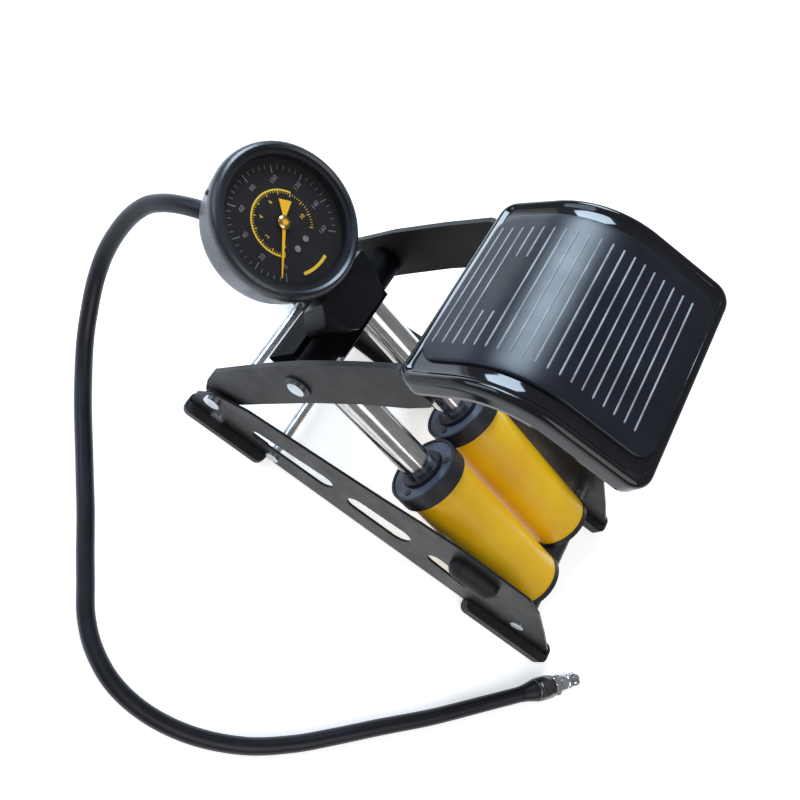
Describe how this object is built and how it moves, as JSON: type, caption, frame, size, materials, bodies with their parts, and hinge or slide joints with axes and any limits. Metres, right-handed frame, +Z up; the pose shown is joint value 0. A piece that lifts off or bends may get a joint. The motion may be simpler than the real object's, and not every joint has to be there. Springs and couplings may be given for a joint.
{
  "type": "foot air pump",
  "caption": "Foot-operated air pump with side-by-side barrels, a curved treadle, a round pressure gauge and a hose ending in a valve chuck.",
  "frame": {"origin": "middle of the pump's footprint on the floor, the hose left out", "axes": "+X from the hinge and gauge end to the front foot, +Y across to the far rail, +Z up"},
  "size_m": [0.4995, 0.3399, 0.3044],
  "materials": {
    "pressed_steel": "satin black",
    "pedal_steel": "gloss black",
    "zinc": "bright zinc",
    "chrome": "polished",
    "dark_metal": "dark satin",
    "barrel_paint": "satin yellow",
    "cap_plastic": "satin black",
    "manifold_plastic": "satin black",
    "rubber": "matt black",
    "mat_rubber": "satin black with grey ridges",
    "hose_rubber": "satin black",
    "boot_rubber": "satin black",
    "dial_plate": "matt black",
    "needle_paint": "amber",
    "brass": "bright",
    "lens_glass": "clear",
    "spring_steel": "bright"
  },
  "bodies": {
    "base": {"rail_near": "pressed_steel", "rail_far": "pressed_steel", "rear_rod": "zinc", "cross_rod": "zinc", "front_axle": "zinc", "axle_spacers": "zinc", "arm_bolts": "zinc", "rear_foot_near": "rubber", "rear_foot_far": "rubber", "front_foot_near": "rubber", "front_foot_far": "rubber", "rail_bumper_near": "rubber", "rail_bumper_far": "rubber", "hose": "hose_rubber", "hose_sleeve": "hose_rubber", "hose_nut": "dark_metal", "chuck_body": "chrome", "chuck_jaws": "chrome"},
    "treadle": {"arm_near": "dark_metal", "arm_far": "dark_metal", "arm_washers": "cap_plastic", "pedal_plate": "pedal_steel", "pedal_mat": "mat_rubber", "manifold_screws": "zinc", "screw_washers": "cap_plastic"},
    "cylinders": {"barrel_near": "barrel_paint", "barrel_far": "barrel_paint", "cylinder_foot": "cap_plastic", "top_cap_near": "cap_plastic", "top_cap_far": "cap_plastic", "cap_screws": "zinc", "rod_bush_near": "cap_plastic", "rod_bush_far": "cap_plastic", "return_spring_near": "spring_steel", "return_spring_far": "spring_steel"},
    "piston_unit": {"piston_rod_near": "chrome", "piston_rod_far": "chrome", "piston_near": "cap_plastic", "piston_far": "cap_plastic", "piston_seals": "rubber", "valve_balls": "rubber", "manifold": "manifold_plastic", "rod_seals": "rubber", "gauge_neck": "boot_rubber", "gauge_case": "boot_rubber", "gauge_can": "cap_plastic", "gauge_dial": "dial_plate", "gauge_lens": "lens_glass", "bourdon_tube": "brass", "gauge_stem": "brass", "dial_screws": "zinc", "hose_gland": "manifold_plastic"},
    "needle": {"gauge_needle": "needle_paint"},
    "hose_end": {"hose_lead": "hose_rubber"}
  },
  "joints": [
    {"name": "treadle_hinge", "type": "hinge", "parent": "base", "child": "treadle", "pos_m": [-0.13, 0, 0.038], "axis": [0, 1, 0], "range_deg": [0, 40], "stiffness_Nm_per_rad": 8, "springref_deg": -28.65},
    {"name": "barrel_pivot", "type": "hinge", "parent": "base", "child": "cylinders", "pos_m": [0.162, 0, 0.03], "axis": [0, 1, 0], "range_deg": [-5.45, 0]},
    {"name": "rod_slide", "type": "slide", "parent": "cylinders", "child": "piston_unit", "axis": [0.9451, 0, -0.3267], "range_m": [0, 0.072], "deforming": ["return_spring_near", "return_spring_far"]},
    {"name": "needle_hinge", "type": "hinge", "parent": "piston_unit", "child": "needle", "pos_m": [-0.1595, 0, 0.19], "axis": [0.2079, 0, 0.9781], "range_deg": [-272, 0], "stiffness_Nm_per_rad": 0.001},
    {"name": "hose_follow", "type": "slide", "parent": "base", "child": "hose_end", "axis": [0.8015, 0, -0.598], "range_m": [0, 0.0765]}
  ],
  "couplings": [
    {"joint": "barrel_pivot", "follows": "treadle_hinge", "ratio": -0.13494},
    {"joint": "rod_slide", "follows": "treadle_hinge", "m_per_rad": 0.10241},
    {"joint": "hose_follow", "follows": "treadle_hinge", "m_per_rad": 0.10853}
  ]
}
